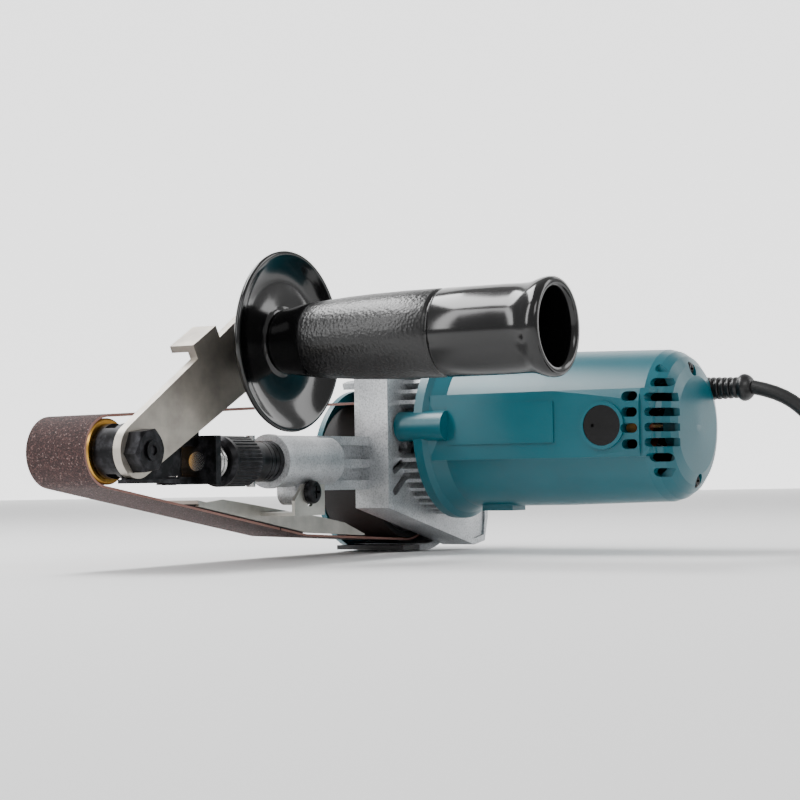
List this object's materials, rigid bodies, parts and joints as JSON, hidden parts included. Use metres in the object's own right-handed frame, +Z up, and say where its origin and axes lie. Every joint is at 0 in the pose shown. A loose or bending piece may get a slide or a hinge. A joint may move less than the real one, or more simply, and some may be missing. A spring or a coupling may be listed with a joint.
{
  "type": "handheld belt sander",
  "caption": "Handheld corded belt sander with a long narrow belt arm, a motor and a side grip set across the belt, a hand guard, a tracking knob and a sheet steel shoe",
  "frame": {"origin": "middle of the tool's footprint on the surface it stands on, cord left out", "axes": "+Z is up, -X points to the belt's front roller, -Y points along the motor and the side grip"},
  "size_m": [0.2896, 0.3782, 0.1321],
  "materials": {
    "cast": "fine-grained casting, blasted",
    "teal": "moulded nylon, satin",
    "black_plastic": "moulded, satin",
    "gloss_black": "moulded, glossy grain",
    "grip": "moulded with leather grain",
    "steel": "rolled sheet, plated",
    "black_steel": "black oxide",
    "bright_steel": "ground and plated",
    "copper": "enamelled wire",
    "brass": "turned",
    "alu": "turned",
    "rubber": "moulded",
    "abrasive": "coated abrasive cloth",
    "graphite": "graphite-coated canvas",
    "carbon": "pressed carbon",
    "pvc": "extruded jacket",
    "board": "potted circuit board"
  },
  "bodies": {
    "frame": {"gear_housing": "cast", "vent_plate": "cast", "belt_cover": "teal", "cover_screws": "black_steel", "guard_strip": "black_plastic", "sanding_belt": "abrasive", "shoe": "steel", "shoe_pad": "graphite", "shoe_screw": "black_steel", "spindle_bearings": "bright_steel", "motor_bearings": "bright_steel", "field_core": "steel", "field_coils": "copper", "motor_housing": "teal", "rear_cover": "teal", "housing_screws": "black_steel", "rear_screws": "black_steel", "brush_holders": "brass", "carbon_brushes": "carbon", "brush_springs": "bright_steel", "brush_caps": "black_plastic", "switch_block": "black_plastic", "speed_controller": "board", "cord_guard": "black_plastic", "power_cord": "pvc", "cord_coil": "pvc", "cord_tie": "black_plastic", "plug_body": "black_plastic", "plug_pins": "brass", "tension_spring": "bright_steel"},
    "rotor": {"armature_shaft": "bright_steel", "armature_core": "steel", "armature_windings": "copper", "commutator": "copper", "cooling_fan": "black_plastic"},
    "drive": {"drive_spindle": "bright_steel", "drive_gear": "black_steel", "drive_pulley": "alu", "pulley_tyre": "rubber", "pulley_screw": "black_steel"},
    "arm": {"arm_tube": "bright_steel", "cross_pin": "bright_steel", "tracking_stud": "bright_steel", "arm_head": "black_steel", "yoke_pin": "bright_steel", "tracking_spring": "bright_steel"},
    "knob": {"tracking_knob": "black_steel"},
    "yoke": {"idler_yoke": "black_steel", "shaft_spacer": "black_steel", "idler_nut": "bright_steel", "idler_shaft": "black_steel", "handle_bracket": "steel", "handle_hub": "black_steel", "hand_guard": "gloss_black", "side_grip": "grip", "grip_stud": "bright_steel"},
    "idler": {"idler_roller": "brass", "idler_bearings": "bright_steel"},
    "switch": {"switch_slider": "black_plastic"},
    "dial": {"speed_dial": "black_plastic"}
  },
  "joints": [
    {"name": "motor_spin", "type": "hinge", "parent": "frame", "child": "rotor", "pos_m": [0.08974, -0.0105, 0.0574], "axis": [0, 1, 0], "continuous": true},
    {"name": "pulley_spin", "type": "hinge", "parent": "frame", "child": "drive", "pos_m": [0.09824, 0.0845, 0.0394], "axis": [0, 1, 0], "continuous": true},
    {"name": "arm_slide", "type": "slide", "parent": "frame", "child": "arm", "axis": [1, 0, 0], "range_m": [0, 0.008], "deforming": ["tension_spring"]},
    {"name": "knob_turn", "type": "hinge", "parent": "arm", "child": "knob", "pos_m": [-0.06356, 0.05885, 0.04364], "axis": [1, 0, 0], "range_deg": [-180, 180]},
    {"name": "yoke_tilt", "type": "hinge", "parent": "arm", "child": "yoke", "pos_m": [-0.09869, 0.064, 0.04364], "axis": [0, 0, 1], "range_deg": [-0.6, 0.6]},
    {"name": "idler_spin", "type": "hinge", "parent": "yoke", "child": "idler", "pos_m": [-0.13019, 0.0845, 0.0478], "axis": [0, 1, 0], "continuous": true},
    {"name": "switch_slide", "type": "slide", "parent": "frame", "child": "switch", "axis": [0, -1, 0], "range_m": [0, 0.008]},
    {"name": "dial_turn", "type": "hinge", "parent": "frame", "child": "dial", "pos_m": [0.12774, -0.0405, 0.0574], "axis": [1, 0, 0], "range_deg": [0, 270]}
  ],
  "couplings": [
    {"joint": "pulley_spin", "follows": "motor_spin", "ratio": -0.33333},
    {"joint": "idler_spin", "follows": "motor_spin", "ratio": -0.79741},
    {"joint": "yoke_tilt", "follows": "knob_turn", "ratio": 0.00333}
  ]
}
